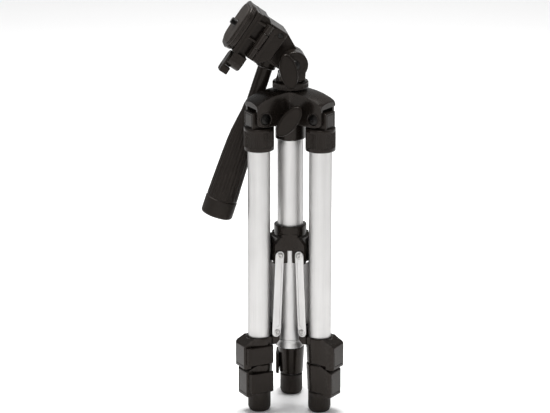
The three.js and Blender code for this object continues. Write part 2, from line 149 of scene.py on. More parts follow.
def prism(outline, low, high, along="z", edge=0.0, steps=2):
    """An outline given depth along one axis, with its edges rounded by edge."""
    order = {"x": (2, 0, 1), "y": (0, 2, 1), "z": (0, 1, 2)}[along]
    bm = bmesh.new()
    ends = []
    for depth in (low, high):
        rows = [(a, b, depth) for a, b in outline]
        ends.append([bm.verts.new([row[i] for i in order]) for row in rows])
    bm.faces.new(ends[0])
    bm.faces.new(list(reversed(ends[1])))
    for i in range(len(outline)):
        j = (i + 1) % len(outline)
        bm.faces.new((ends[0][j], ends[0][i], ends[1][i], ends[1][j]))
    bmesh.ops.recalc_face_normals(bm, faces=bm.faces)
    if edge:
        round_edges(bm, edge, steps)
    return as_mesh(bm)


def block(low, high, edge=0.0, steps=2):
    outline = [(low[0], low[1]), (high[0], low[1]), (high[0], high[1]), (low[0], high[1])]
    return prism(outline, low[2], high[2], "z", edge, steps)


def moved(mesh, x=0, y=0, z=0, turn=(0, "Z")):
    """The mesh turned by degrees about an axis through the origin, and then moved."""
    mesh.transform(Matrix.Translation((x, y, z)) @ Matrix.Rotation(math.radians(turn[0]), 4, turn[1]))
    return mesh


def rod_y(radius, x, z, low, high, edge=0.0, segments=SMALL):
    """A rod along Y."""
    return prism(circle(x, z, radius, segments), low, high, "y", edge)


def rod_z(radius, x, y, low, high):
    """A rod along Z."""
    return prism(circle(x, y, radius), low, high)


def drum(radius, low, high, segments=ROUND):
    """A plain cylinder round Z."""
    return lathe([(0, low), (radius, low), (radius, high), (0, high)], segments)


def arc(x, y, radius, start, stop, steps=12):
    """Points along an arc, with angles in degrees."""
    turns = [math.radians(start + (stop - start) * i / steps) for i in range(steps + 1)]
    return [(x + radius * math.cos(t), y + radius * math.sin(t)) for t in turns]


def circle(x, y, radius, segments=SMALL):
    return arc(x, y, radius, 0, 360 - 360 / segments, segments - 1)


def ellipse(half_x, half_y, segments=64):
    return [(half_x * a, half_y * b) for a, b in circle(0, 0, 1, segments)]


def rounded(x, y, half_x, half_y, corner, steps=10):
    """A rectangle with rounded corners about a middle."""
    points = []
    for side_x, side_y, start in ((1, 1, 0), (-1, 1, 90), (-1, -1, 180), (1, -1, 270)):
        centre_x = x + side_x * (half_x - corner)
        centre_y = y + side_y * (half_y - corner)
        points += arc(centre_x, centre_y, corner, start, start + 90, steps)
    return points


def combined(operation, base, tools):
    """One solid after boolean operations with the others."""
    body = bpy.data.objects.new("base", base)
    bpy.context.scene.collection.objects.link(body)
    helpers = []
    for tool in tools:
        helper = bpy.data.objects.new("tool", tool)
        bpy.context.scene.collection.objects.link(helper)
        helpers.append(helper)
        step = body.modifiers.new("step", "BOOLEAN")
        step.operation = operation
        step.solver = "MANIFOLD"
        step.object = helper
    bpy.context.view_layer.update()
    graph = bpy.context.evaluated_depsgraph_get()
    result = bpy.data.meshes.new_from_object(body.evaluated_get(graph), depsgraph=graph)
    for used in [body, *helpers]:
        bpy.data.objects.remove(used)
    return result


def join(base, *tools):
    return combined("UNION", base, tools)


def cut(base, *tools):
    return combined("DIFFERENCE", base, tools)


def common(base, *tools):
    return combined("INTERSECT", base, tools)


def softened(mesh, width):
    """The solid with its sharp edges rounded."""
    bm = bmesh.new()
    bm.from_mesh(mesh)
    bmesh.ops.remove_doubles(bm, verts=bm.verts, dist=0.01)
    round_edges(bm, width, 3, 50)
    return as_mesh(bm)


def every_third(make):
    """The same solid at the three legs' azimuths, seen from the mast."""
    return [moved(make(), turn=(azimuth, "Z")) for azimuth in (210, 330, 90)]


# ---- Materials ----

WARM = (1, 0.9, 0.83, 1)  # the tint of every black surface's reflections


class Shader:
    """A Principled material whose inputs are fed by nodes in metres of the object's own space."""

    def __init__(self, name):
        self.material = bpy.data.materials.new(name)
        self.material.use_nodes = True
        self.tree = self.material.node_tree
        self.surface = self.tree.nodes["Principled BSDF"]
        self.coordinates = self.add("ShaderNodeTexCoord").outputs["Object"]

    def add(self, kind, **values):
        node = self.tree.nodes.new(kind)
        for key, value in values.items():
            setattr(node, key, value)
        return node

    def link(self, source, target):
        self.tree.links.new(source, target)

    def noise(self, scale, detail=3.0, roughness=0.55, stretch=(1, 1, 1)):
        mapping = self.add("ShaderNodeMapping")
        mapping.inputs["Scale"].default_value = stretch
        self.link(self.coordinates, mapping.inputs["Vector"])
        node = self.add("ShaderNodeTexNoise")
        node.inputs["Scale"].default_value = scale
        node.inputs["Detail"].default_value = detail
        node.inputs["Roughness"].default_value = roughness
        self.link(mapping.outputs["Vector"], node.inputs["Vector"])
        return node.outputs["Fac"]

    def between(self, value, low, high, to_low=0.0, to_high=1.0):
        node = self.add("ShaderNodeMapRange")
        node.inputs["From Min"].default_value = low
        node.inputs["From Max"].default_value = high
        node.inputs["To Min"].default_value = to_low
        node.inputs["To Max"].default_value = to_high
        self.link(value, node.inputs["Value"])
        return node.outputs["Result"]

    def maths(self, operation, first, second):
        node = self.add("ShaderNodeMath", operation=operation)
        for socket, value in zip(node.inputs, (first, second)):
            if isinstance(value, (int, float)):
                socket.default_value = value
            else:
                self.link(value, socket)
        return node.outputs["Value"]

    def mixed(self, share, first, second):
        node = self.add("ShaderNodeMix", data_type="RGBA")
        self.link(share, node.inputs["Factor"])
        for socket, value in ((node.inputs["A"], first), (node.inputs["B"], second)):
            if isinstance(value, tuple):
                socket.default_value = (*value, 1)
            else:
                self.link(value, socket)
        return node.outputs["Result"]

    def bump(self, height, strength, depth_mm, under=None):
        node = self.add("ShaderNodeBump")
        node.inputs["Strength"].default_value = strength
        node.inputs["Distance"].default_value = depth_mm * MM
        self.link(height, node.inputs["Height"])
        if under:
            self.link(under, node.inputs["Normal"])
        return node.outputs["Normal"]

    def upward(self):
        """How far a surface faces up, from 0 to 1."""
        normal = self.add("ShaderNodeNewGeometry").outputs["Normal"]
        parts = self.add("ShaderNodeSeparateXYZ")
        self.link(normal, parts.inputs["Vector"])
        return self.between(parts.outputs["Z"], 0.35, 1.0)

    def edges(self, start, stop):
        """Where the surface is sharply convex, from 0 to 1."""
        pointiness = self.add("ShaderNodeNewGeometry").outputs["Pointiness"]
        return self.between(pointiness, start, stop)

    def finish(self, color=None, roughness=None, normal=None, **values):
        for source, key in ((color, "Base Color"), (roughness, "Roughness"), (normal, "Normal")):
            if source is not None:
                self.link(source, self.surface.inputs[key])
        for key, value in values.items():
            self.surface.inputs[key.replace("_", " ")].default_value = value
        return self.material


def moulded_plastic(name, color, roughness, grain, shine):
    """Black moulded plastic: a fine grain, faint flow marks, a little dust and rubbed edges."""
    shader = Shader(name)
    flow = shader.noise(55, 4)
    lighter = tuple(1.3 * channel for channel in color)
    tone = shader.mixed(shader.between(flow, 0.35, 0.7), color, lighter)
    rubbed = shader.maths("MULTIPLY", shader.edges(0.55, 0.66),
                          shader.between(shader.noise(420, 3), 0.42, 0.62))
    tone = shader.mixed(shader.maths("MULTIPLY", rubbed, 0.25), tone, (0.09, 0.086, 0.082))
    dust = shader.maths("MULTIPLY", shader.upward(),
                        shader.between(shader.noise(900, 5, 0.7), 0.58, 0.8))
    tone = shader.mixed(shader.maths("MULTIPLY", dust, 0.07), tone, (0.25, 0.24, 0.225))
    wear = shader.between(shader.noise(130, 5, 0.6), 0.3, 0.7, roughness - 0.03, roughness + 0.05)
    normal = shader.bump(shader.noise(2600, 2), grain, 0.03)
    normal = shader.bump(shader.noise(240, 2), 0.05, 0.05, normal)
    rough = shader.maths("ADD", wear, shader.maths("MULTIPLY", dust, 0.15))
    return shader.finish(tone, rough, normal, Specular_IOR_Level=shine, Specular_Tint=WARM)


def drawn_aluminium(name, color, roughness):
    """Satin anodised aluminium: fine draw lines along the length, soft smudges and a few scuffs."""
    shader = Shader(name)
    stretch = (1, 1, 0.012)
    lines = shader.noise(3400, 2, 0.6, stretch)
    broad = shader.noise(700, 3, 0.6, stretch)
    smudge = shader.noise(38, 5, 0.6)
    darker = tuple(0.93 * channel for channel in color)
    tone = shader.mixed(shader.between(lines, 0.3, 0.7), darker, color)
    tone = shader.mixed(shader.between(smudge, 0.45, 0.75, 0, 0.25), tone, darker)
    scuffs = shader.between(shader.noise(260, 6, 0.75, (1, 1, 0.25)), 0.7, 0.76, 0, 0.3)
    tone = shader.mixed(scuffs, tone, tuple(0.75 * channel for channel in color))
    rough = shader.maths("ADD", shader.between(broad, 0.3, 0.7, roughness - 0.03, roughness + 0.03),
                         shader.between(smudge, 0.4, 0.7, 0, 0.07))
    normal = shader.bump(lines, 0.04, 0.02)
    return shader.finish(tone, rough, normal, Metallic=1.0, Specular_Tint=(0.36, 0.36, 0.37, 1))


def plated_steel(name, color, roughness):
    """Zinc-plated steel: faint crystals and dull spots."""
    shader = Shader(name)
    crystals = shader.noise(1500, 4, 0.65)
    spots = shader.between(shader.noise(350, 5, 0.7), 0.5, 0.72)
    tone = shader.mixed(spots, color, tuple(0.68 * channel for channel in color))
    rough = shader.between(crystals, 0.3, 0.7, roughness - 0.07, roughness + 0.12)
    return shader.finish(tone, rough, shader.bump(crystals, 0.15, 0.03), Metallic=1.0)


def moulded_rubber(name, color, roughness, grain):
    """Soft moulded rubber: a matt grain, pale scuffs on its edges and pale speckles."""
    shader = Shader(name)
    patches = shader.noise(75, 4)
    tone = shader.mixed(shader.between(patches, 0.35, 0.7), color, tuple(1.3 * c for c in color))
    scuffed = shader.maths("MULTIPLY", shader.edges(0.52, 0.58),
                           shader.between(shader.noise(300, 4), 0.42, 0.6))
    tone = shader.mixed(shader.maths("MULTIPLY", scuffed, 0.2), tone, (0.1, 0.096, 0.092))
    speckle = shader.between(shader.noise(1700, 3, 0.7), 0.6, 0.74, 0, 0.15)
    tone = shader.mixed(speckle, tone, tuple(2 * c for c in color))
    rough = shader.between(shader.noise(500, 4), 0.3, 0.7, roughness - 0.06, roughness + 0.08)
    normal = shader.bump(shader.noise(1900, 3), grain, 0.08)
    return shader.finish(tone, rough, normal, Specular_IOR_Level=0.2, Specular_Tint=WARM)


PLASTIC = moulded_plastic("satin_black_plastic", (0.0082, 0.0064, 0.0052), 0.22, 0.05, 0.21)
DOME = moulded_plastic("dome_plastic", (0.0074, 0.0058, 0.0048), 0.24, 0.03, 0.27)
GLOSS = moulded_plastic("gloss_black_plastic", (0.0078, 0.0061, 0.005), 0.16, 0.02, 0.17)
PLATE_PLASTIC = moulded_plastic("plate_plastic", (0.0145, 0.0121, 0.0105), 0.25, 0.05, 0.24)
TUBE = drawn_aluminium("satin_aluminium", (0.62, 0.612, 0.603), 0.46)
STRIP = drawn_aluminium("strip_aluminium", (0.66, 0.652, 0.643), 0.42)
STEEL = plated_steel("plated_steel", (0.5, 0.49, 0.475), 0.3)
DARK_STEEL = plated_steel("blackened_steel", (0.025, 0.024, 0.023), 0.33)
RUBBER = moulded_rubber("black_rubber", (0.0088, 0.007, 0.0058), 0.5, 0.12)
PAD_RUBBER = moulded_rubber("pad_rubber", (0.024, 0.0205, 0.018), 0.6, 0.35)


# ---- Placing ----

def show(name, mesh, local, body, material, nodes=()):
    """A finished piece in its frame, riding on a body and standing for the CAD nodes named."""
    mesh = mesh.copy()
    mesh.transform(local)
    mesh.name = name
    for polygon in mesh.polygons:
        polygon.use_smooth = True
    mesh.set_sharp_from_angle(angle=SHARP)
    mesh.materials.clear()
    mesh.materials.append(material)
    piece = bpy.data.objects.new(name, mesh)
    bpy.context.scene.collection.objects.link(piece)
    weighted = piece.modifiers.new("normals", "WEIGHTED_NORMAL")
    weighted.keep_sharp = True
    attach(piece, body)
    if nodes:
        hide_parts(*nodes)
    return piece


def show_on_legs(part, mesh, body, material, node=None):
    """The same piece on each leg. body and node are patterns with the leg's number in them."""
    for leg, local in LEGS.items():
        nodes = [node.format(leg)] if node else []
        show(f"leg_{leg}_{part}_shape", mesh, local, body.format(leg), material, nodes)


# ---- Small fittings ----

def screw_head(radius, height):
    """A pan head on the XY plane with a cross recess."""
    outline = [(0, 0), (radius, 0), (radius, height * 0.35), (radius * 0.93, height * 0.65),
               (radius * 0.72, height * 0.9), (radius * 0.4, height), (0, height * 1.02)]
    head = lathe(outline, SMALL)
    arm, width = radius * 0.55, radius * 0.13
    recess = [block((-arm, -width, height * 0.35), (arm, width, height * 2)),
              block((-width, -arm, height * 0.35), (width, arm, height * 2))]
    return cut(head, join(*recess))


def rivet(radius, height):
    """A domed rivet head on the XY plane with a dimple."""
    return lathe([(0, 0), (radius, 0), (radius, height * 0.3), (radius * 0.86, height * 0.75),
                  (radius * 0.6, height), (radius * 0.45, height), (radius * 0.3, height * 0.6),
                  (0, height * 0.5)], SMALL)


def facing(mesh, x, y, z, side):
    """A fitting made on the XY plane, turned to face -Y (side -1) or +Y (side 1)."""
    return moved(mesh, x, y, z, turn=(-90 * side, "X"))


def open_tube(radius, wall, bottom, top, chamfer=0.25):
    bore = radius - wall
    return lathe([(bore, bottom), (radius - chamfer, bottom), (radius, bottom + chamfer),
                  (radius, top - chamfer), (radius - chamfer, top), (bore, top)])


def paddle(half_x, half_z, lean, front, back, rim, stem_radius, stem_end):
    """An oval paddle knob facing -Y, with a raised rim round a sunk face, and its stem."""
    body = prism(ellipse(half_x, half_z), front, back, "y", 1.1, 4)
    sunk = prism(ellipse(half_x - rim, half_z - rim), front - 1, front + 0.7, "y")
    inner = rim + 0.5
    crown = prism(ellipse(half_x - inner, half_z - inner), front + 0.25, front + 1.5, "y", 0.45, 3)
    stem = rod_y(stem_radius, 0, 0, back - 1, stem_end)
    return moved(join(cut(body, sunk), crown, stem), turn=(lean, "Y"))


# ---- Canopy ----

RIM = 266.0  # height of the canopy's rim
BAND = 2.8  # height of the roof's edge, which stands proud of the walls under it
BOLT_X, BOLT_Z = 28.5, 256.7  # the leg's bolt, from the mast's axis
KNOB_Z = 256.4  # height of the column knob
ABOVE = 285  # a height clear of the canopy's top


def canopy():
    """The dome with three lobes, each with a roof that stands proud of its two ears."""
    low, high = span("canopy", MAST)
    lobe = span("canopy", frame_at(MAST_POINT, LEGS[3].translation - MAST_POINT, (-1, 0, 0)))[1].x
    lobe_crest = [(38.3, 1.6), (37.5, 3.2), (36.2, 4.6), (34, 5.8), (30.6, 7.3), (27, 8.8), (22, 10.2),
                  (17, 11.2), (14.6, 11.7)]
    crest = [(radius, RIM + rise) for radius, rise in lobe_crest]
    dome = lathe([(0, 230), (60, 230), (60, RIM - 2), (38.2, RIM - 0.8), (38.4, RIM), *crest,
                  (14.2, high.z), (0, high.z)], 96)
    lowered = [(radius, height - BAND) for radius, height in crest[2:]]
    under = lathe([(0, 225), (45, 225), (45, RIM - 0.8), (37.4, RIM - 0.8), *lowered, (0, RIM + 9)], 96)

    def roof():
        return block((0, -11.7, RIM - 0.8), (lobe, 11.7, ABOVE), 0.5, 3)

    def ears():
        outline = [(0, 251), (28, 249.4), (31, 249.7), (34.5, 250.9), (36.1, 252.5), (36.2, 284), (0, 284)]
        return prism(outline, -10.9, 10.9, "y", 0.8, 3)

    def wall_hollow():
        return prism(circle(-26.44, 0, 12, 96), 240, 290)

    def roof_hollow():
        return prism(circle(-22.75, 0, 8, 96), 240, 290)

    wall = cut(drum(17.1, 252, 284, 96), *every_third(wall_hollow))
    crown = cut(drum(16.3, RIM, ABOVE, 96), *every_third(roof_hollow))
    band = cut(softened(common(join(crown, *every_third(roof)), dome), 0.8), under)
    boss = lathe([(0, low.z), (11.9, low.z), (12.7, low.z + 0.8), (12.7, ABOVE), (0, ABOVE)])
    knob_boss = rod_y(5.6, 0, KNOB_Z, -23.2, -10, 0.5)
    body = join(common(join(boss, wall, knob_boss, *every_third(ears)), dome), band)

    def slot():
        return block((16.5, -7.9, 225), (60, 7.9, RIM - 0.8))

    def bolt_hole():
        return rod_y(2.5, BOLT_X, BOLT_Z, -15, 15)

    def sinks():
        return join(rod_y(4.8, BOLT_X, BOLT_Z, 9.3, 15), rod_y(4.8, BOLT_X, BOLT_Z, -15, -9.3))

    cuts = [*every_third(slot), *every_third(bolt_hole), *every_third(sinks)]
    cuts += [drum(11.1, 230, 246.3), drum(8.9, 240, 290), rod_y(2.9, 0, KNOB_Z, -30, 0)]
    body = cut(body, *cuts)

    def bead():
        return bolt_collar(1)

    def far_bead():
        return bolt_collar(-1)

    return join(body, *every_third(bead), *every_third(far_bead))


def bolt_collar(side):
    """A raised ring round a leg bolt's sunk head."""
    ring = lathe([(4.8, 0), (6.2, 0), (6.2, 0.5), (5.9, 0.8), (5.1, 0.8), (4.8, 0.5)], SMALL)
    return facing(ring, BOLT_X, 10.6 * side, BOLT_Z, side)


show("canopy_shape", canopy(), MAST, "mast", DOME, ["canopy"])


# ---- Mast ----

def mast_pieces():
    """The guide tube with its flared end and plug, the lifting column and its knob."""
    low, high = span("guide_tube", MAST)
    radius, wall = high.x, 1.5
    bore = radius - wall
    flare = [(radius - 0.3, 53.5), (radius + 0.75, 53.4), (radius + 0.95, 53.8), (radius + 0.9, 54.6),
             (radius + 0.2, 56.6), (radius - 0.1, 58.4), (radius, 59), (radius + 0.35, 59.5),
             (radius + 0.35, 60.3), (radius, 60.8), (radius, high.z), (bore, high.z), (bore, 57.5)]
    show("guide_tube_shape", lathe(flare, 96), MAST, "mast", TUBE, ["guide_tube"])
    low, high = span("guide_tube_cap", MAST)
    plug = bore - 0.3
    end_cap = lathe([(0, 54.1), (8.9, 54.1), (9.6, 54.6), (9.6, 55.2), (plug, 56.4), (plug, high.z),
                     (0, high.z)])
    show("mast_end_cap", end_cap, MAST, "mast", PLASTIC, ["guide_tube_cap"])
    low, high = span("column", MAST)
    show("column_shape", open_tube(high.x, 0.8, low.z, high.z), MAST, "column", TUBE, ["column"])
    low, high = span("column_knob", MAST)
    knob = paddle(7.2, 15, 37, low.y, -24, 0.9, 2.5, high.y)
    show("column_knob_shape", moved(knob, z=KNOB_Z), MAST, "column_knob", GLOSS, ["column_knob"])


mast_pieces()


# ---- Spreader ----

def hub():
    """The sliding collar: a ring with a stepped top, three pairs of cheeks and three front panels."""
    low, high = span("spreader_hub", MAST)
    ring = lathe([(0, 141), (13.8, 141), (13.8, high.z - 0.9), (13.5, high.z - 0.25), (12.9, high.z),
                  (0, high.z)])

    def cheeks():
        outline = [(0, low.z), (18.4, low.z), (19.3, low.z + 1), (19.3, 147), (13.8, 153), (0, 153)]
        return prism(outline, -9.4, 9.4, "y", 0.8, 3)

    def channel():
        return block((15.2, -5.6, low.z - 5), (25, 5.6, 160))

    def panel():
        outline = [(-11, 143.8), (11, 143.8), (6.4, 155), (-6.4, 155)]
        return moved(prism(outline, 8, 14.0, "y", 0.4), turn=(90, "Z"))

    bore = drum(11.1, 100, 170)
    arch = lathe([(0, 100), (12.2, 100), (12.2, 142.4), (11.4, 143.6), (0, 143.6)])
    body = join(ring, *every_third(cheeks), *every_third(panel))
    return cut(body, *every_third(channel), bore, arch)


def strips():
    """The two flat strips of each leg, with a pressed channel and a rivet at each end."""
    top, bottom = Vector((-14.0, 137.5)), Vector((-11.0, 70.5))
    length = (top - bottom).length
    lean = math.degrees(math.atan2(bottom.x - top.x, top.y - bottom.y))
    stadium = arc(0, 0, 4, 0, 180) + arc(0, -length, 4, 180, 360)
    inner = arc(0, -7, 2.2, 0, 180) + arc(0, 7 - length, 2.2, 180, 360)
    for side, letter in ((1, "a"), (-1, "b")):
        low, high = span(f"leg_1_strip_{letter}", LEGS[1])
        outside = high.y if side > 0 else low.y
        strip = prism(stadium, low.y, high.y, "y", 0.35, 3)
        groove = prism(inner, *sorted((outside - side * 0.45, outside + side)), "y")
        strip = cut(strip, groove)
        heads = [facing(rivet(2.9, 0.8), 0, outside, z, side) for z in (0, -length)]
        pins = [rod_y(1.4, 0, z, *sorted((outside, 9.0 * side))) for z in (0, -length)]
        place = [moved(item, top.x, 0, top.y, turn=(-lean, "Y")) for item in [strip, *heads, *pins]]
        show_on_legs(f"strip_{letter}", place[0], "leg_{}_strips", STRIP, f"leg_{{}}_strip_{letter}")
        for name, head, pin in (("top", place[1], place[3]), ("bottom", place[2], place[4])):
            show_on_legs(f"{name}_rivet_{letter}", join(head, pin), "leg_{}_strips", STEEL)
    inside = span("leg_1_strip_a", LEGS[1])[0].y + 0.3
    web_outline = [(-17.4, 127), (-15.9, 77), (-15.9, 73), (-15.2, 73), (-15.2, 77), (-16.6, 127)]
    web = prism(web_outline, -inside, inside, "y", 0.25)
    show_on_legs("strip_web", web, "leg_{}_strips", STRIP)


show("spreader_hub_shape", hub(), MAST, "spreader_hub", PLASTIC, ["spreader_hub"])
strips()


# ---- Legs ----

PIVOT_X, PIVOT_Z = -1.0, BOLT_Z  # the leg's bolt, from the leg's own axis


def leg_cap():
    """The top cap: a ribbed sleeve over the tube and a rounded tongue that turns on the bolt."""
    low, high = span("leg_1_cap", LEGS[1])
    radius = high.y
    top = 248.8

    def ribs(angle, r, height):
        if low.z + 3.5 < height < top - 3:
            return r - 0.16 + 0.16 * math.cos(angle * 60)
        return r

    heights = [low.z + 3.4, low.z + 3.6, low.z + 4.2, top - 3.6, top - 3.1, top - 2.9]
    ribbed = [(radius, height) for height in heights]
    sleeve = lathe([(0, low.z), (radius - 0.9, low.z), (radius - 0.3, low.z + 0.25), (radius, low.z + 0.9),
                    *ribbed, (radius, top - 0.9), (radius - 0.3, top - 0.3), (radius - 0.9, top), (0, top)],
                   360, ribs)
    outer = PIVOT_X + 10.6
    outline = [(outer, top - 1), (outer, PIVOT_Z + 5.3), (PIVOT_X + 4, PIVOT_Z + 7)]
    outline += arc(PIVOT_X, PIVOT_Z, 7, 90, 180)
    outline += [(PIVOT_X - 8, top - 1)]
    tongue = prism(outline, -7.4, 7.4, "y", 0.7, 3)
    panel = block((outer - 0.3, -5.2, top + 1.4), (outer + 0.02, 5.2, PIVOT_Z + 3.4), 0.12)
    frame_cut = block((outer - 0.35, -5.9, top + 0.8), (outer + 1, 5.9, PIVOT_Z + 4))
    bore = drum(9.8, 200, 243)
    hole = rod_y(2.4, PIVOT_X, PIVOT_Z, -20, 20)
    return join(cut(join(sleeve, tongue), bore, hole, frame_cut), panel)


def leg_bolt():
    """The bolt through both ears: a cross-slotted head on each side and its shaft."""
    shaft = rod_y(2.1, PIVOT_X, PIVOT_Z, -9.8, 9.8)
    heads = [facing(screw_head(4.2, 1.3), PIVOT_X, 9.6 * side, PIVOT_Z, side) for side in (-1, 1)]
    return join(shaft, *heads)


CLAMPS = {
    "upper": {"body": "leg_{}", "lever": "leg_{}_upper_lever", "lip": 11.9, "radius": 11.8,
              "inner": "middle_tube", "outer": "upper_tube", "shoulder": 61.2, "top": 67.2, "near": 9.2},
    "lower": {"body": "leg_{}_middle", "lever": "leg_{}_lower_lever", "lip": 10.2, "radius": 11.2,
              "inner": "lower_tube", "outer": "middle_tube", "shoulder": 38.0, "top": 43.5, "near": 8.8},
}
LIP = 3.0  # how far the clamp's outer end hangs below the rest of it


def clamp(kind):
    """A tapering collar with a split block, whose top slopes down outward over the lever."""
    info = CLAMPS[kind]
    low, high = span(f"leg_1_{kind}_clamp", LEGS[1])
    bottom, reach, lip, near = low.z + LIP, high.x, info["lip"], info["near"]
    shoulder, top, radius = info["shoulder"], info["top"], info["radius"]
    outer_low, outer_high = span(f"leg_1_{info['outer']}", LEGS[1])
    inner_high = span(f"leg_1_{info['inner']}", LEGS[1])[1]
    narrow = radius - 1.2
    collar = lathe([(0, bottom), (narrow - 0.5, bottom), (narrow, bottom + 0.6), (radius, top - 2.4),
                    (radius - 0.2, top - 0.9), (radius - 0.9, top - 0.1), (radius - 1.3, top), (0, top)])
    profile = [(0, bottom), (lip, bottom), (lip, bottom - LIP), (reach, bottom - LIP), (reach, top - 7),
               (reach - 0.8, top - 5.4), (reach - 2.4, top - 4.1), (reach - 9.5, top - 0.5), (0, top - 0.5)]
    plan = [(0, -9.4), *arc(reach - 3, -6.4, 3, -90, 0, 8), *arc(reach - 1.5, near - 1.5, 1.5, 0, 90, 6),
            (lip + 0.5, near), (lip + 0.5, 4.6), (0, 4.6)]
    body = common(prism(plan, bottom - LIP, top), prism(profile, -12, 12, "y", 0.5, 3))
    lever_top = span(f"leg_1_{kind}_lever", LEGS[1])[1].z
    ledge_outline = [(0, 0), (reach - 1.5, 0), (reach - 1.5, near), (lip, near), (5, radius - 1),
                     (0, radius - 0.6)]
    ledge = common(prism(ledge_outline, lever_top + 0.3, top), prism(profile, -12, 14, "y", 0.5, 3))
    solids = [body, ledge]
    if kind == "upper":
        outline = [(-15, 63), (-12, 59.6), (-8, 59.6), (-8, 74.5), (-14, 74.5), (-15, 73)]
        solids.append(prism(outline, -9.4, 9.4, "y", 0.6, 3))
    joined = join(collar, *solids)
    cuts = [drum(outer_high.y + 0.3, outer_low.z - 0.3, 90), drum(inner_high.y + 0.3, 5, 90),
            block((reach - 0.35, -6.3, bottom - LIP + 2.4), (reach + 1, -5.8, shoulder - 5)),
            block((reach - 0.35, -6.3, bottom - LIP + 2.4), (reach + 1, near - 1.8, bottom - LIP + 2.9))]
    if kind == "upper":
        for side in (-1, 1):
            low_y, high_y = sorted((side * 9.5, side * 12))
            cuts.append(block((-14, low_y, 60.2), (-2.8, high_y, 80)))
    return cut(joined, *cuts)


def clamp_lever(kind):
    """A flip lever along the collar's side: a smooth blade and its hub."""
    low, high = span(f"leg_1_{kind}_lever", LEGS[1])
    pin_x, pin_y = high.x - 2.9, 9
    outline = [(low.x, 10.4), (pin_x, 10.4), (pin_x + 1.5, 11.2), (pin_x + 2.8, 12), (pin_x + 1.5, 12.6),
               (pin_x, high.y), (low.x + 2.4, high.y), (low.x + 0.8, high.y - 0.5), (low.x, high.y - 1.6)]
    blade = prism(outline, low.z, high.z, "z", 0.6, 3)
    hub_low, hub_high = low.z + 0.4, high.z - 0.4
    barrel = lathe([(0, hub_low), (2.8, hub_low), (3.1, hub_low + 0.3), (3.1, hub_high - 0.3),
                    (2.8, hub_high), (0, hub_high)], SMALL)
    return join(blade, moved(barrel, pin_x, pin_y, 0))


def foot():
    """A rounded rubber foot with fine ribs."""
    high = span("leg_1_foot", LEGS[1])[1]
    radius, top = high.y, high.z

    def ribs(angle, r, height):
        return r - 0.08 + 0.08 * math.cos(angle * 40) if 4.9 < height < 12.6 else r

    outline = [(0, 0.5), (4.2, 0.5), (4.6, 0), (6.4, 0), (7.6, 0.35), (8.5, 1.2), (9.2, 2.5)]
    outline += [(radius, height) for height in (4.2, 4.8, 5.2, 12.2, 12.8, top - 0.6)]
    outline.append((radius - 0.6, top))
    return lathe([*outline, (7.3, top), (7.3, 6), (0, 6)], 240, ribs)


def leg_pieces():
    """Each leg's cap, bolt, tubes, clamps, levers and foot."""
    show_on_legs("cap", leg_cap(), "leg_{}", PLASTIC, "leg_{}_cap")
    show_on_legs("bolt", leg_bolt(), "mast", DARK_STEEL, "leg_{}_bolt")
    walls = {"upper": ("leg_{}", 0.9), "middle": ("leg_{}_middle", 0.8), "lower": ("leg_{}_lower", 0.8)}
    for kind, (body, wall) in walls.items():
        low, high = span(f"leg_1_{kind}_tube", LEGS[1])
        tube = open_tube(high.y, wall, low.z, high.z)
        show_on_legs(f"{kind}_tube", tube, body, TUBE, f"leg_{{}}_{kind}_tube")
    for kind, info in CLAMPS.items():
        show_on_legs(f"{kind}_clamp", clamp(kind), info["body"], PLASTIC, f"leg_{{}}_{kind}_clamp")
        show_on_legs(f"{kind}_lever", clamp_lever(kind), info["lever"], GLOSS, f"leg_{{}}_{kind}_lever")
    show_on_legs("foot", foot(), "leg_{}_lower", RUBBER, "leg_{}_foot")


leg_pieces()


# ---- Head: what stays upright ----

BARREL = 11.4  # radius round the tilt axis


def pan_base():
    """The knurled ring under the pan body and its spigot."""
    low, high = span("pan_base", HEAD)
    radius, bottom = high.x, 278.6

    def knurl(angle, r, height):
        return r - 0.22 + 0.22 * math.cos(angle * 56) if bottom + 1.6 < height < high.z - 2 else r

    return lathe([(0, low.z), (7.2, low.z), (7.5, low.z + 0.3), (7.5, bottom), (radius - 0.8, bottom),
                  (radius, bottom + 0.8), (radius, bottom + 1.5), (radius, bottom + 1.9),
                  (radius, high.z - 2.3), (radius, high.z - 1.9), (radius, high.z - 1.2),
                  (radius - 0.5, high.z - 0.4), (radius - 1.3, high.z), (0, high.z)], 336, knurl)


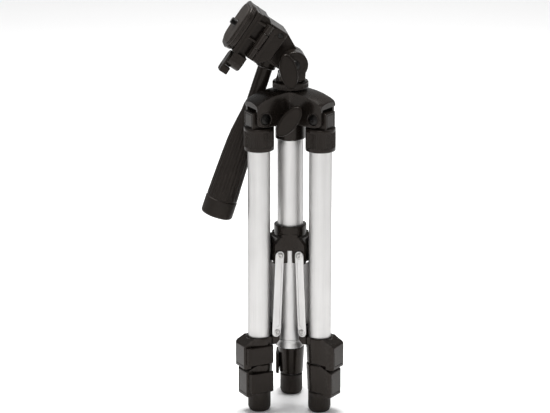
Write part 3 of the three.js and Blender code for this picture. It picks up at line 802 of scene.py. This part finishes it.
def pan_body():
    """A round skirt with an upright cheek, whose barrel carries the tilt bolt."""
    low = span("pan_body", HEAD)[0]
    axis = HEAD.inverted() @ Vector(JOINTS["head_tilt"]["pos_m"])
    knob = HEAD.inverted() @ Vector(JOINTS["pan_lock"]["pos_m"])
    skirt = lathe([(0, low.z), (12.2, low.z), (12.2, low.z + 0.5), (11.6, low.z + 1),
                   (11.2, low.z + 2.2), (0, low.z + 2.2)])
    outline = [(-10.8, low.z + 1.4), (10.8, low.z + 1.4), (11.2, 293)]
    outline += arc(axis.x, axis.z, BARREL, -34, 200, 40)
    outline += [(-10.8, 293)]
    cheek = prism(outline, low.y, -0.3, "y", 1.1, 4)
    waist = lathe([(0, low.z), (12.3, low.z), (12.5, low.z + 0.4), (12.4, low.z + 1.2), (11.9, low.z + 2.4),
                   (11.3, low.z + 4), (10.9, low.z + 6), (10.7, low.z + 8.2), (0, low.z + 8.2)], 96)
    flare = common(waist, block((-20, low.y, low.z), (20, -0.3, low.z + 9)))
    collar = rod_y(8.6, axis.x, axis.z, low.y - 0.01, -3, 0)
    ring_cut = cut(rod_y(8.4, axis.x, axis.z, -20, low.y + 0.45, segments=56),
                   rod_y(7.7, axis.x, axis.z, -21, low.y + 1, segments=56))
    boss = rod_y(4.6, knob.x, knob.z, -17.6, low.y + 2, 0.4)
    body = join(cut(join(skirt, cheek, collar, flare), ring_cut), boss)
    return cut(body, rod_y(2.8, axis.x, axis.z, -20, 5), rod_y(2.5, knob.x, knob.z, -20, -6))


def upright_pieces():
    """The pan base, the pan body and its knob."""
    show("pan_base_shape", pan_base(), HEAD, "column", PLASTIC, ["pan_base"])
    show("pan_body_shape", pan_body(), HEAD, "pan_body", PLASTIC, ["pan_body"])
    knob = HEAD.inverted() @ Vector(JOINTS["pan_lock"]["pos_m"])
    low, high = span("pan_knob", HEAD)
    pan_knob = moved(paddle(7.4, 14.8, -12, low.y, -18.5, 0.8, 2.2, high.y), knob.x, 0, knob.z + 0.8)
    show("pan_knob_shape", pan_knob, HEAD, "pan_knob", GLOSS, ["pan_knob"])


upright_pieces()


# ---- Head: what tips ----

HINGE_Y, HINGE_Z = -16.5, 36.2  # the flip hinge's pin
KNUCKLE = 3.6  # radius of the flip hinge's knuckles
LANE = 4.1  # radius of the room that a knuckle turns in
PIN_HOLE = 1.8
BRACKET_BOTTOM, BRACKET_TOP = 19.0, 36.0


def hinge_rod(radius, low, high, edge=0.0):
    """A rod along X round the flip hinge's pin."""
    return prism(circle(HINGE_Y, HINGE_Z, radius), low, high, "x", edge)


def along_handle(mesh):
    """A solid turned about Z laid along the handle, in the tipping frame."""
    mesh.transform(TIPPING.inverted() @ HANDLE @ Matrix.Rotation(math.pi / 2, 4, "Y"))
    return mesh


def tilt_arm():
    """The cheek on the tilt axis, the bracket under the platform and the handle's socket."""
    bottom, top = BRACKET_BOTTOM, BRACKET_TOP
    outline = arc(0, 0, BARREL, 189, 378, 36)
    outline += [(18.5, bottom), (18.5, bottom + 9), (-15, bottom + 9), (-9.3, bottom + 1.7)]
    cheek = prism(outline, 0.3, 12, "y", 1.0, 3)
    slab_outline = [(-8, bottom), (18.5, bottom), (18.5, top), (-16, top), (-16, bottom + 8),
                    (-9.5, bottom + 2)]
    slab = prism(slab_outline, -13, 20, "y", 0.9, 3)
    socket = along_handle(lathe([(0, -6), (7.6, -6), (8.4, -5.2), (8.4, 10.6), (8.1, 11), (8.4, 11.4),
                                 (8.4, 11.9), (7.8, 12.5), (0, 12.5)]))
    web = block((-12, 4, 4), (2, 16, bottom + 2), 0.8)
    shelf = block((-15, HINGE_Y, HINGE_Z - 7), (17, -11, HINGE_Z - 0.4), 0.5)
    near_rib = prism(arc(2, 20, 12.5, -62, 62, 20) + arc(2, 20, 11.5, 62, -62, 20), -13.5, -12, "y")
    edge_rib = block((-15, -13.45, top - 3.2), (17.6, -12, top - 2.2), 0.2)
    knuckles = [hinge_rod(KNUCKLE, -15, -5.3, 0.3), hinge_rod(KNUCKLE, 9.3, 17, 0.3)]
    body = join(cheek, slab, socket, web, shelf, edge_rib, *knuckles)
    body = join(body, common(near_rib, block((-20, -14, bottom + 1), (17.6, -11, top - 1))))
    pin_hole = hinge_rod(PIN_HOLE, -20, 25)
    lane = hinge_rod(LANE, -5.3, 9.3)
    rod_hole = along_handle(drum(6.7, 2, 20))
    screw_pocket = rod_y(2.6, 14.3, 23.8, -15, -12.2)
    return cut(body, rod_hole, rod_y(2.8, 0, 0, -5, 11.7), pin_hole, lane, screw_pocket)


def tilt_bolt():
    """The tilt bolt's domed head and its shaft."""
    dome = lathe([(0, 0), (4.4, 0), (4.35, 0.6), (4.1, 1.2), (3.5, 1.8), (2.6, 2.3), (1.4, 2.6),
                  (0, 2.7)], SMALL)
    return join(facing(dome, 0, -13.3, 0, -1), rod_y(2.5, 0, 0, -13.6, 11.5))


def platform():
    """The platform's hollow body, with two ribs and a shallow waist on each long side."""
    high = span("camera_platform", TIPPING)[1]
    back, front, half, bottom, top = -17.5, high.x, high.y, 36.6, high.z
    outline = [(back, bottom + 2.5), (back + 3, bottom), (front - 2, bottom), (front, bottom + 3),
               (front, top), (back, top)]
    body = prism(outline, -half, half, "y", 0.8, 3)
    waist = [block((back - 1, y - 0.6, top - 3.4), (front + 1, y + 0.6, top - 2.7)) for y in (-half, half)]
    lip_gap = block((front - 0.5, -half - 1, top - 3.4), (front + 1, half + 1, top - 2.7))
    sides = []
    for side in (-1, 1):
        for x, z_low, z_high in ((-0.7, 39, 47), (14.7, 38, 48)):
            near, far = sorted((side * (half - (3 if side > 0 else 6.4)), side * (half + 0.2)))
            sides.append(block((x - 1, near, z_low), (x + 1, far, z_high), 0.6, 4))
    pivot = TIPPING.inverted() @ Vector(JOINTS["plate_release"]["pos_m"])
    lug_top = 49.3
    lug = lathe([(0, bottom + 0.6), (5.6, bottom + 0.6), (6.2, bottom + 1.2), (6.2, lug_top), (0, lug_top)])
    lug_block = block((pivot.x, pivot.y - 6.2, bottom + 0.6), (back + 1, pivot.y + 6.2, lug_top), 0.4)
    hollow = block((-12, -10, bottom + 5), (14, 14, top + 1))
    hinge = hinge_rod(KNUCKLE, -5, 9, 0.3)
    undercut = [block((back - 1, -half - 1, bottom - 1), (front + 1, -half + 6, 46)),
                block((back - 1, half - 2.6, bottom - 1), (front + 1, half + 1, 46))]
    body = cut(body, *waist, *undercut, lip_gap)
    body = join(body, *sides, moved(lug, pivot.x, pivot.y), lug_block, hinge)
    pin_hole = hinge_rod(PIN_HOLE, -20, 25)
    lanes = [hinge_rod(LANE, -15.5, -5), hinge_rod(LANE, 9, 17.5)]
    return cut(body, hollow, rod_z(2.8, pivot.x, pivot.y, 43, 60), pin_hole, *lanes)


def quick_plate():
    """The plate: a rounded rim over a grooved band, with a seat for the pad and the screw's pocket."""
    low, high = span("quick_plate", TIPPING)
    middle, half_x, half_y = (low.x + high.x) / 2, (high.x - low.x) / 2, high.y
    bands = [(low.z, low.z + 1.2, 1.0, 0.3), (low.z + 0.9, low.z + 1.9, 0.5, 0.15),
             (low.z + 1.7, low.z + 2.4, 1.1, 0), (low.z + 2.2, low.z + 3.2, 0.35, 0.2),
             (low.z + 3.0, low.z + 3.6, 0.9, 0), (low.z + 3.4, high.z, 0.0, 0.75)]
    layers = []
    for bottom, top, inset, edge in bands:
        outline = rounded(middle, 0, half_x - inset, half_y - inset, 13 - inset, 14)
        layers.append(prism(outline, bottom, top, "z", edge, 3))
    pad_low, pad_high = span("plate_cushion", TIPPING)
    seat_x, seat_y = (pad_high.x - pad_low.x) / 2 + 0.3, pad_high.y + 0.3
    seat = prism(rounded(middle, 0, seat_x, seat_y, 9), high.z - 0.6, high.z + 1, "z")
    hole = rod_z(3.4, middle, 0, low.z - 1, high.z + 1)
    pocket = rod_z(6.7, middle, 0, low.z - 1, 54.7)
    return cut(join(*layers), seat, hole, pocket)


def cushion():
    """The rubber pad, with a softly rounded edge, a shallow border groove and rows of fine ribs."""
    low, high = span("plate_cushion", TIPPING)
    middle, half_x, half_y = (low.x + high.x) / 2, (high.x - low.x) / 2, high.y
    pad = prism(rounded(middle, 0, half_x, half_y, 9, 12), low.z, high.z, "z", 0.35, 3)
    ring = cut(prism(rounded(middle, 0, half_x - 1.6, half_y - 1.6, 7.4), high.z - 0.25, high.z + 1),
               prism(rounded(middle, 0, half_x - 2.1, half_y - 2.1, 6.9), high.z - 1, high.z + 2))
    grooves = []
    for i in range(-9, 10):
        reach = half_y - 3.6 if abs(i) < 7 else half_y - 6.5
        x = middle + i * 1.55
        grooves.append(block((x - 0.2, -reach, high.z - 0.22), (x + 0.2, reach, high.z + 1)))
    hole = rod_z(3.4, middle, 0, low.z - 1, high.z + 1)
    return cut(pad, ring, *grooves, hole)


def camera_screw():
    """A quarter-inch screw: a flat head under the plate and a single-start thread."""
    low, high = span("camera_screw", TIPPING)
    middle = (low.x + high.x) / 2
    pitch = 1.27
    start = 54.4  # where the thread begins

    def thread(angle, r, height):
        if not start + 0.2 < height < high.z - 0.1:
            return r
        phase = (height / pitch - angle / (2 * math.pi)) % 1
        return r - 0.55 * (1 - abs(2 * phase - 1))

    rise = high.z - start
    steps = 90
    threaded = []
    for i in range(steps + 1):
        z = start + rise * i / steps
        threaded.append((min(3.1, 2.5 + (high.z - z) * 0.9), z))
    outline = [(0, low.z), (5.9, low.z), (6.4, low.z + 0.4), (6.4, 54.1), (6.1, start), *threaded,
               (0, high.z)]
    return moved(lathe(outline, 48, thread), x=middle)


def release_lever():
    """The lever: a flat blade on its pivot, with a deep ribbed thumb end."""
    low, high = span("release_lever", TIPPING)
    pivot = TIPPING.inverted() @ Vector(JOINTS["plate_release"]["pos_m"])
    bottom, half = 49.6, 6.0
    blade_outline = arc(pivot.x, pivot.y, half, -90, 90, 16)
    blade_outline += [(low.x + 1.5, pivot.y + half), (low.x, pivot.y + half - 1.5),
                      (low.x, pivot.y - half + 1.5), (low.x + 1.5, pivot.y - half)]
    blade = prism(blade_outline, bottom, high.z, "z", 0.4, 3)
    thumb = block((low.x, pivot.y - half, 44), (pivot.x - 6.4, pivot.y + half, high.z - 0.4), 0.9, 3)
    ribs = [block((x, pivot.y - half + 1, high.z - 0.5), (x + 0.8, pivot.y + half - 1, high.z + 1))
            for x in (low.x + 1.6, low.x + 3.2, low.x + 4.8)]
    clearance = rod_z(6.8, pivot.x, pivot.y, 30, bottom)
    stem = rod_z(2.5, pivot.x, pivot.y, 43.5, bottom + 0.5)
    cap = lathe([(0, 0), (2.8, 0), (2.8, 0.2), (2.3, 0.35), (0, 0.35)], SMALL)
    cap = moved(cap, pivot.x, pivot.y, high.z - 0.35)
    return join(cut(join(blade, thumb), clearance, *ribs), stem, cap)


def handle_rod():
    """The plain rod between the socket and the grip."""
    low, high = span("handle_rod", HANDLE)
    rod = lathe([(0, low.x), (6, low.x), (6.4, low.x + 0.4), (6.4, high.x - 0.4), (6, high.x), (0, high.x)])
    return along_handle(rod)


def handle_grip():
    """A grip that swells to a thick end, with soft flutes and a plain band."""
    low, high = span("handle_grip", HANDLE)
    start, end = low.x, high.x
    bore, bore_end = 6.7, 78.3

    def flutes(angle, r, height):
        rise = min(1.0, max(0.0, (height - start - 9) / 10))
        rise *= min(1.0, max(0.0, (end - 17.5 - height) / 3))
        return r - 0.55 * rise * (0.5 - 0.5 * math.cos(angle * 22)) ** 2

    knots = [(0, 7.0), (1, 7.4), (7, 7.9), (15, 9.2), (26, 10.9), (37, 11.8), (55, 12.5),
             (end - start - 17, 13.3)]
    outer = []
    for (a, ra), (b, rb) in zip(knots, knots[1:]):
        for i in range(8):
            share = i / 8
            outer.append((ra + (rb - ra) * share, start + a + (b - a) * share))
    band = [(13.3, end - 17), (12.9, end - 16.4), (12.9, end - 15.6), (13.55, end - 15),
            (13.6, end - 14), (13.6, end - 2.2), (13.3, end - 1.2), (12.7, end - 0.5), (11.8, end - 0.1),
            (10.5, end), (9.2, end), (8.8, end - 0.5), (0, end - 0.6)]
    outline = [(0, bore_end), (bore, bore_end), (bore, start), *outer, *band]
    return along_handle(lathe(outline, 264, flutes))


def tipping_pieces():
    """Everything that tips: the arm, the handle, the platform and what stands on it."""
    show("tilt_arm_shape", tilt_arm(), TIPPING, "tilt_arm", PLASTIC, ["tilt_arm"])
    show("tilt_bolt_shape", tilt_bolt(), TIPPING, "tilt_arm", DARK_STEEL, ["tilt_bolt"])
    bracket_screw = facing(screw_head(2.2, 0.9), 14.3, -12.2, 23.8, -1)
    show("bracket_screw", bracket_screw, TIPPING, "tilt_arm", DARK_STEEL)
    show("handle_rod_shape", handle_rod(), TIPPING, "handle", PLASTIC, ["handle_rod"])
    show("handle_grip_shape", handle_grip(), TIPPING, "handle", RUBBER, ["handle_grip"])
    show("platform_shape", platform(), TIPPING, "platform", PLASTIC, ["camera_platform"])
    low, high = span("flip_pin", TIPPING)
    pin = hinge_rod(1.5, low.x, high.x, 0.3)
    show("flip_pin_shape", pin, TIPPING, "platform", STEEL, ["flip_pin"])
    show("quick_plate_shape", quick_plate(), TIPPING, "platform", PLATE_PLASTIC, ["quick_plate"])
    show("plate_pad", cushion(), TIPPING, "platform", PAD_RUBBER, ["plate_cushion"])
    show("camera_screw_shape", camera_screw(), TIPPING, "camera_screw", DARK_STEEL, ["camera_screw"])
    show("release_lever_shape", release_lever(), TIPPING, "release_lever", GLOSS, ["release_lever"])


tipping_pieces()


# ---- Floor, light and camera ----

def floor():
    """A pale ground plane, which is no part of the object."""
    shader = Shader("pale_floor")
    tone = shader.mixed(shader.noise(3, 3), (0.9, 0.9, 0.9), (0.93, 0.93, 0.93))
    shader.finish(tone, Specular_IOR_Level=0.1, Roughness=0.9)
    mesh = bpy.data.meshes.new("floor")
    bm = bmesh.new()
    bmesh.ops.create_grid(bm, x_segments=2, y_segments=2, size=6)
    bm.to_mesh(mesh)
    bm.free()
    mesh.materials.append(shader.material)
    ground = bpy.data.objects.new("floor", mesh)
    bpy.context.scene.collection.objects.link(ground)


def softbox(name, position, target, size, power):
    """A rectangular light in metres and watts, facing a point."""
    data = bpy.data.lights.new(name, "AREA")
    data.shape = "RECTANGLE"
    data.size, data.size_y = size
    data.energy = power
    light = bpy.data.objects.new(name, data)
    light.location = position
    light.rotation_euler = (Vector(target) - Vector(position)).to_track_quat("-Z", "Y").to_euler()
    bpy.context.scene.collection.objects.link(light)


def studio():
    """A white surround and six soft lights."""
    world = bpy.data.worlds.new("studio")
    world.use_nodes = True
    background = world.node_tree.nodes["Background"]
    background.inputs["Color"].default_value = (1, 1, 1, 1)
    background.inputs["Strength"].default_value = 0.27
    bpy.context.scene.world = world
    softbox("overhead", (-0.1, 0.2, 1.7), (0, 0, 0.1), (0.9, 0.6), 34)
    softbox("front", (-0.25, -2.3, 0.9), (0, 0, 0.2), (1.5, 1.3), 15)
    softbox("left", (-1.8, -0.4, 0.8), (0, 0, 0.2), (0.6, 1.2), 2)
    softbox("right", (1.8, -0.2, 0.8), (0, 0, 0.2), (0.6, 1.2), 6)
    softbox("rear", (0.2, 2.5, 0.55), (0, 0, 0.3), (2.6, 0.6), 1.6)
    softbox("sky", (0, 0.6, 3.2), (0, 0.3, 0), (3, 3), 52)
    bpy.context.scene.view_settings.view_transform = "Standard"


def camera():
    """A long lens from 2.2 m, looking 16 degrees down and a little from the right."""
    azimuth, pitch, distance = math.radians(2.5), math.radians(16), 2.226
    aside, height = -0.01285, 0.1758
    right = Vector((math.cos(azimuth), math.sin(azimuth), 0))
    level = math.cos(pitch)
    forward = Vector((-math.sin(azimuth) * level, math.cos(azimuth) * level, -math.sin(pitch)))
    target = MAST_POINT + right * aside + Vector((0, 0, height))
    data = bpy.data.cameras.new("camera")
    sensor, focal, image_width = 36, 2650, 550  # millimetres, then pixels twice
    data.sensor_width = sensor
    data.lens = sensor * focal / image_width
    viewer = bpy.data.objects.new("camera", data)
    viewer.location = target - forward * distance
    viewer.rotation_euler = forward.to_track_quat("-Z", "Y").to_euler()
    bpy.context.scene.collection.objects.link(viewer)
    bpy.context.scene.camera = viewer


floor()
studio()
camera()
